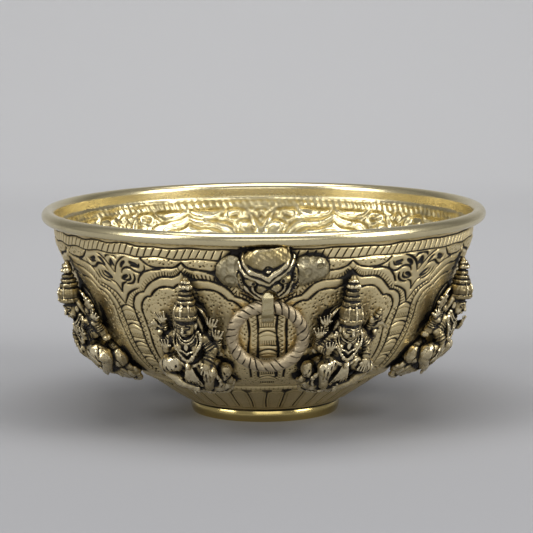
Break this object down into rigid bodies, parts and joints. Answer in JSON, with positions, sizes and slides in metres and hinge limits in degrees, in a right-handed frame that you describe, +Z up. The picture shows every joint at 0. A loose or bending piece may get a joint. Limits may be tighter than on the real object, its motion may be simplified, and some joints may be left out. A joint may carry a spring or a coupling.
{
  "type": "offering bowl",
  "caption": "Round brass offering bowl with a rolled rim, a foot ring, cast seated figures and lion-mask ring handles on a chased wall.",
  "frame": {"origin": "centre of the foot ring's lower edge, on the table", "axes": "+Z up the bowl's axis, the front lion mask and its ring face -Y, the back ones +Y, +X to the right seen from the front"},
  "size_m": [0.182, 0.1854, 0.0845],
  "materials": {
    "raised_brass_sheet": "chased and patinated, polished by handling on high spots",
    "brass_wire": "drawn, bare",
    "brass_strip": "polished, tarnished in the joint",
    "cast_brass": "as cast and chased, dark patina in the recesses",
    "brass_strap": "filed and polished",
    "twisted_brass_bar": "worn, greyish tarnish in the grooves"
  },
  "bodies": {
    "bowl": {"bowl_shell": "raised_brass_sheet", "rim_wire": "brass_wire", "foot_ring": "brass_strip", "figure_1": "cast_brass", "figure_2": "cast_brass", "figure_3": "cast_brass", "figure_4": "cast_brass", "figure_5": "cast_brass", "figure_6": "cast_brass", "figure_7": "cast_brass", "figure_8": "cast_brass", "mask_plate_front": "cast_brass", "mask_plate_back": "cast_brass", "lion_mask_front": "cast_brass", "lion_mask_back": "cast_brass", "ring_strap_front": "brass_strap", "ring_strap_back": "brass_strap"},
    "ring_front": {"ring_handle_front": "twisted_brass_bar"},
    "ring_back": {"ring_handle_back": "twisted_brass_bar"}
  },
  "joints": [
    {"name": "ring_front_hinge", "type": "hinge", "parent": "bowl", "child": "ring_front", "pos_m": [0, -0.08167, 0.05569], "axis": [-1, 0, 0], "range_deg": [0, 160]},
    {"name": "ring_back_hinge", "type": "hinge", "parent": "bowl", "child": "ring_back", "pos_m": [0, 0.08167, 0.05569], "axis": [1, 0, 0], "range_deg": [0, 160]}
  ]
}
